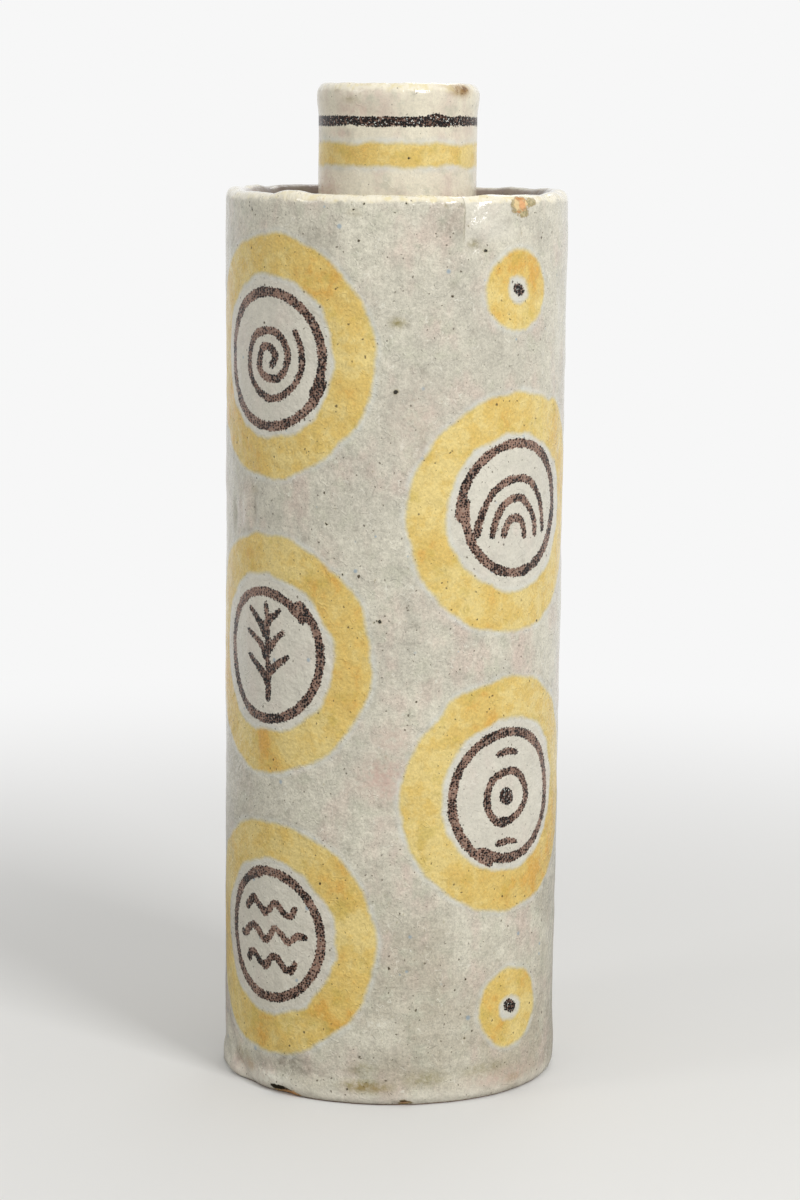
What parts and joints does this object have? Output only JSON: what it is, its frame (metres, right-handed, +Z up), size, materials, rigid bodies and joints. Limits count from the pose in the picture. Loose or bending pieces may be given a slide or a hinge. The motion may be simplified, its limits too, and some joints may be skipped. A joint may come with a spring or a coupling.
{
  "type": "vase",
  "caption": "Tall cylindrical ceramic vase with a sunken shoulder inside a raised rim and a narrow standing neck that opens into the hollow body.",
  "frame": {"origin": "on the table, under the centre of the foot", "axes": "+Z up the vase's axis, from the foot to the mouth of the neck; -Y is the side that faces the picture's camera; +X is that camera's right"},
  "size_m": [0.112, 0.112, 0.3273],
  "materials": {
    "tin_glaze": "thick satin-gloss off-white glaze, specked, with brushed yellow and speckled dark brown decoration",
    "well_glaze": "the same glaze where it is thinner and duller, in the well round the neck",
    "bare_clay": "unglazed fired clay, matt and slightly gritty"
  },
  "bodies": {
    "root": {"body_wall": "tin_glaze", "neck_wall": "tin_glaze", "shoulder_slab": "well_glaze", "shoulder_fillet": "well_glaze", "neck_fillet": "well_glaze", "base_slab": "bare_clay", "base_coil": "bare_clay", "shoulder_ledge_coil": "bare_clay", "body_seam_strip": "bare_clay"}
  },
  "joints": []
}
